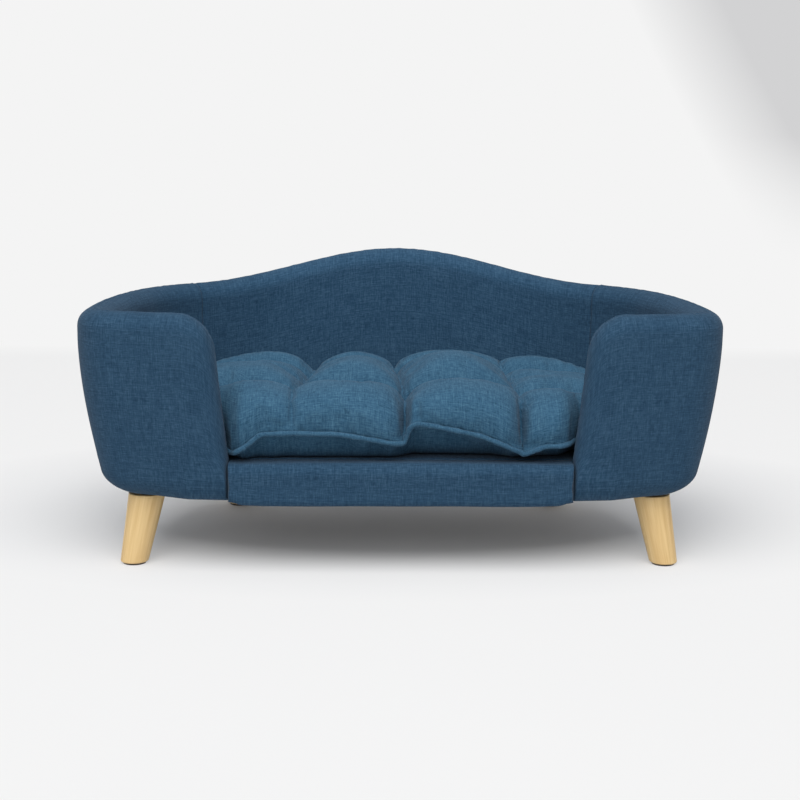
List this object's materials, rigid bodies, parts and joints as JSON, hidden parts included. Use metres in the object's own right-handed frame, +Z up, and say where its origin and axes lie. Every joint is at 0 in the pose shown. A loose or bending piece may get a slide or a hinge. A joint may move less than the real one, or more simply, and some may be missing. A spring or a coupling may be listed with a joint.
{
  "type": "dog sofa bed",
  "caption": "Small sofa-shaped pet bed: a low padded wall with a raised back round a tufted loose cushion, on splayed turned wooden legs.",
  "frame": {"origin": "on the floor, below the middle of the body's width and depth", "axes": "+X to the right as seen from the front, +Y to the back, +Z up"},
  "size_m": [0.6998, 0.3613, 0.32],
  "materials": {
    "frame_timber": "sawn pine, unfinished",
    "plywood": "bent plywood, unfinished",
    "foam": "soft foam padding",
    "filling": "hollow-fibre filling",
    "cover_cloth": "slubby woven upholstery cloth, matt",
    "cushion_cloth": "slubby woven upholstery cloth, matt",
    "piping_cloth": "cloth-covered piping, matt",
    "tie_thread": "waxed thread",
    "dust_cloth": "black non-woven cloth",
    "steel": "zinc-plated steel",
    "leg_wood": "pale beech, satin lacquer",
    "glide_plastic": "dark plastic glide",
    "zip_cloth": "woven zip tape",
    "zip_plastic": "moulded zip teeth",
    "zip_metal": "painted zinc casting"
  },
  "bodies": {
    "sofa": {"bottom_panel": "frame_timber", "front_rail": "frame_timber", "back_rail": "frame_timber", "side_rail_left": "frame_timber", "side_rail_right": "frame_timber", "centre_brace": "frame_timber", "corner_blocks": "frame_timber", "frame_screws": "steel", "tee_nuts": "steel", "deck_panel": "plywood", "deck_cloth": "cover_cloth", "rail_padding": "foam", "rail_cover": "cover_cloth", "dust_cover": "dust_cloth", "cover_staples": "steel", "wall_board_left": "plywood", "wall_board_back": "plywood", "wall_board_right": "plywood", "outer_padding_left": "foam", "outer_padding_back": "foam", "outer_padding_right": "foam", "inner_padding_left": "foam", "inner_padding_back": "foam", "inner_padding_right": "foam", "outer_cover_left": "cover_cloth", "outer_cover_back": "cover_cloth", "outer_cover_right": "cover_cloth", "inner_cover_left": "cover_cloth", "inner_cover_back": "cover_cloth", "inner_cover_right": "cover_cloth"},
    "cushion": {"cushion_top_cover": "cushion_cloth", "cushion_bottom_cover": "cushion_cloth", "cushion_piping": "piping_cloth", "cushion_filling": "filling", "tuft_ties": "tie_thread", "zip_tape": "zip_cloth", "zip_teeth": "zip_plastic"},
    "zip_slider": {"zip_slider": "zip_metal"},
    "zip_pull": {"zip_pull": "zip_metal"},
    "bolt_front_left": {"bolt_front_left": "steel"},
    "leg_front_left": {"leg_front_left": "leg_wood", "glide_front_left": "glide_plastic"},
    "bolt_front_right": {"bolt_front_right": "steel"},
    "leg_front_right": {"leg_front_right": "leg_wood", "glide_front_right": "glide_plastic"},
    "bolt_rear_left": {"bolt_rear_left": "steel"},
    "leg_rear_left": {"leg_rear_left": "leg_wood", "glide_rear_left": "glide_plastic"},
    "bolt_rear_right": {"bolt_rear_right": "steel"},
    "leg_rear_right": {"leg_rear_right": "leg_wood", "glide_rear_right": "glide_plastic"}
  },
  "joints": [
    {"name": "cushion_lift", "type": "slide", "parent": "sofa", "child": "cushion", "axis": [0, 0, 1], "range_m": [0, 0.25]},
    {"name": "zip_run", "type": "slide", "parent": "cushion", "child": "zip_slider", "axis": [1, 0, 0], "range_m": [-0.237, 0]},
    {"name": "pull_swing", "type": "hinge", "parent": "zip_slider", "child": "zip_pull", "pos_m": [0.1185, 0.11546, 0.12799], "axis": [0, 0.545, 0.8384], "range_deg": [0, 70]},
    {"name": "unscrew_front_left", "type": "hinge", "parent": "bolt_front_left", "child": "leg_front_left", "pos_m": [-0.27816, -0.12022, 0.0762], "axis": [0, 0, -1], "range_deg": [0, 5184]},
    {"name": "draw_front_left", "type": "slide", "parent": "sofa", "child": "bolt_front_left", "axis": [0, 0, -1], "range_m": [0, 0.0181]},
    {"name": "unscrew_front_right", "type": "hinge", "parent": "bolt_front_right", "child": "leg_front_right", "pos_m": [0.27816, -0.12022, 0.0762], "axis": [0, 0, -1], "range_deg": [0, 5184]},
    {"name": "draw_front_right", "type": "slide", "parent": "sofa", "child": "bolt_front_right", "axis": [0, 0, -1], "range_m": [0, 0.0181]},
    {"name": "unscrew_rear_left", "type": "hinge", "parent": "bolt_rear_left", "child": "leg_rear_left", "pos_m": [-0.18598, 0.1101, 0.0762], "axis": [0, 0, -1], "range_deg": [0, 5184]},
    {"name": "draw_rear_left", "type": "slide", "parent": "sofa", "child": "bolt_rear_left", "axis": [0, 0, -1], "range_m": [0, 0.0181]},
    {"name": "unscrew_rear_right", "type": "hinge", "parent": "bolt_rear_right", "child": "leg_rear_right", "pos_m": [0.18598, 0.1101, 0.0762], "axis": [0, 0, -1], "range_deg": [0, 5184]},
    {"name": "draw_rear_right", "type": "slide", "parent": "sofa", "child": "bolt_rear_right", "axis": [0, 0, -1], "range_m": [0, 0.0181]}
  ],
  "couplings": [
    {"joint": "draw_front_left", "follows": "unscrew_front_left", "m_per_rad": 0.00019894},
    {"joint": "draw_front_right", "follows": "unscrew_front_right", "m_per_rad": 0.00019894},
    {"joint": "draw_rear_left", "follows": "unscrew_rear_left", "m_per_rad": 0.00019894},
    {"joint": "draw_rear_right", "follows": "unscrew_rear_right", "m_per_rad": 0.00019894}
  ]
}
